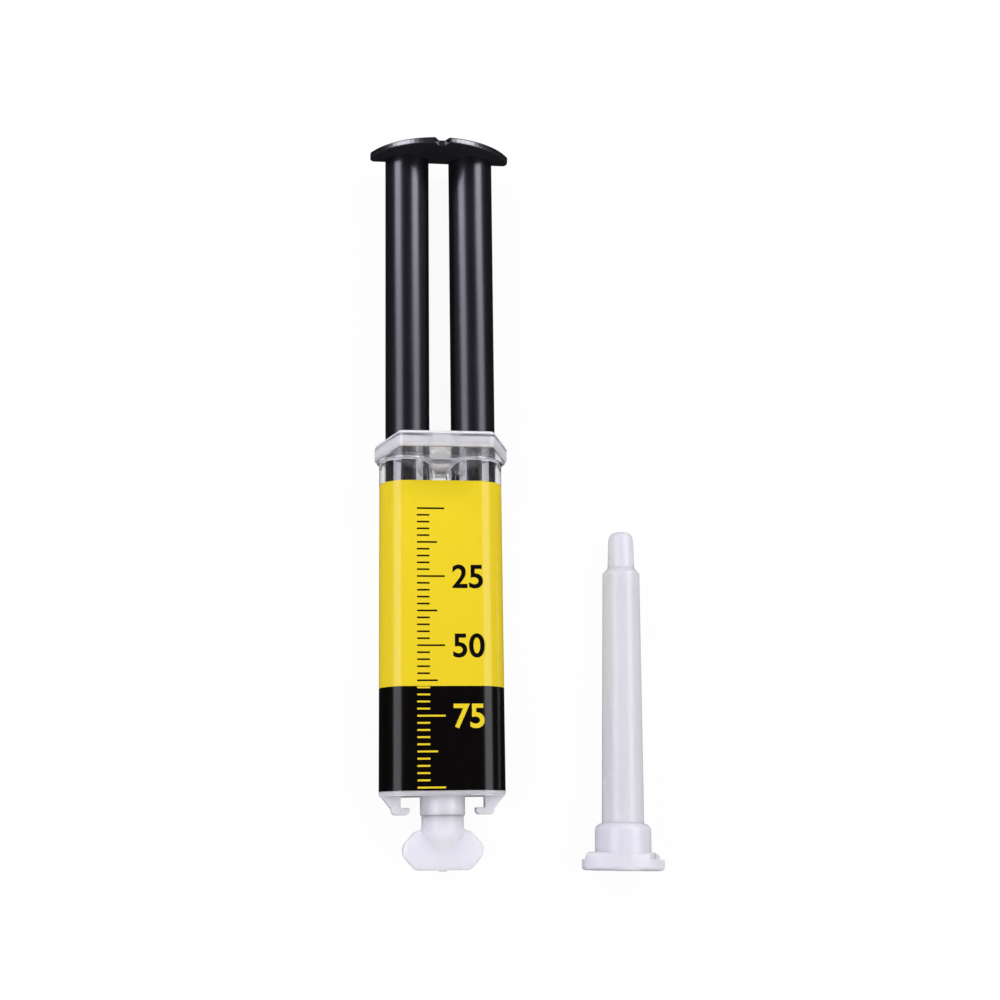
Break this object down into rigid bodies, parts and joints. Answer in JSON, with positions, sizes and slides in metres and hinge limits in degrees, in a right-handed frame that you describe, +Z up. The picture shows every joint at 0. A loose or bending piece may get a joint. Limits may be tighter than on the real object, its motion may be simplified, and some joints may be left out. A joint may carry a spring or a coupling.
{
  "type": "twin-barrel adhesive syringe",
  "caption": "Twin-barrel syringe with a linked twin-rod plunger, finger flange, bayonet nose and plug cap, lying beside its tapered static mixing nozzle.",
  "frame": {"origin": "on the syringe's centre line, where the nose meets the end face of the barrel", "axes": "+Y along the syringe from the nose to the thumb plate, +Z up, away from the surface that the syringe lies on, which is 4.65 mm below the origin"},
  "size_m": [0.0466, 0.1191, 0.017],
  "materials": {
    "clear_plastic": "clear moulded polypropylene, slightly milky",
    "label_film": "printed gloss film, yellow with a black field below",
    "resin": "clear thick liquid",
    "hardener": "amber thick liquid",
    "black_plastic": "black moulded plastic, semi-gloss",
    "piston_plastic": "natural polyethylene",
    "cap_plastic": "milky translucent polyethylene",
    "nozzle_plastic": "milky white polypropylene",
    "blade_plastic": "white moulded plastic"
  },
  "bodies": {
    "syringe_barrel": {"barrel": "clear_plastic", "label_sleeve": "label_film", "resin_charge": "resin", "hardener_charge": "hardener"},
    "syringe_plunger": {"plunger": "black_plastic", "piston_left": "piston_plastic", "piston_right": "piston_plastic"},
    "cap": {"end_cap": "cap_plastic"},
    "nozzle": {"mixing_nozzle": "nozzle_plastic", "mixing_element": "blade_plastic"}
  },
  "joints": [
    {"name": "plunger_push", "type": "slide", "parent": "syringe_barrel", "child": "syringe_plunger", "axis": [0, -1, 0], "range_m": [0, 0.0438], "deforming": ["resin_charge", "hardener_charge"]},
    {"name": "cap_pull", "type": "slide", "parent": "syringe_barrel", "child": "cap", "axis": [0, -1, 0], "range_m": [0, 0.06]},
    {"name": "nozzle_lift", "type": "slide", "parent": "syringe_barrel", "child": "nozzle", "axis": [0, 0, 1], "range_m": [0, 0.03]}
  ]
}
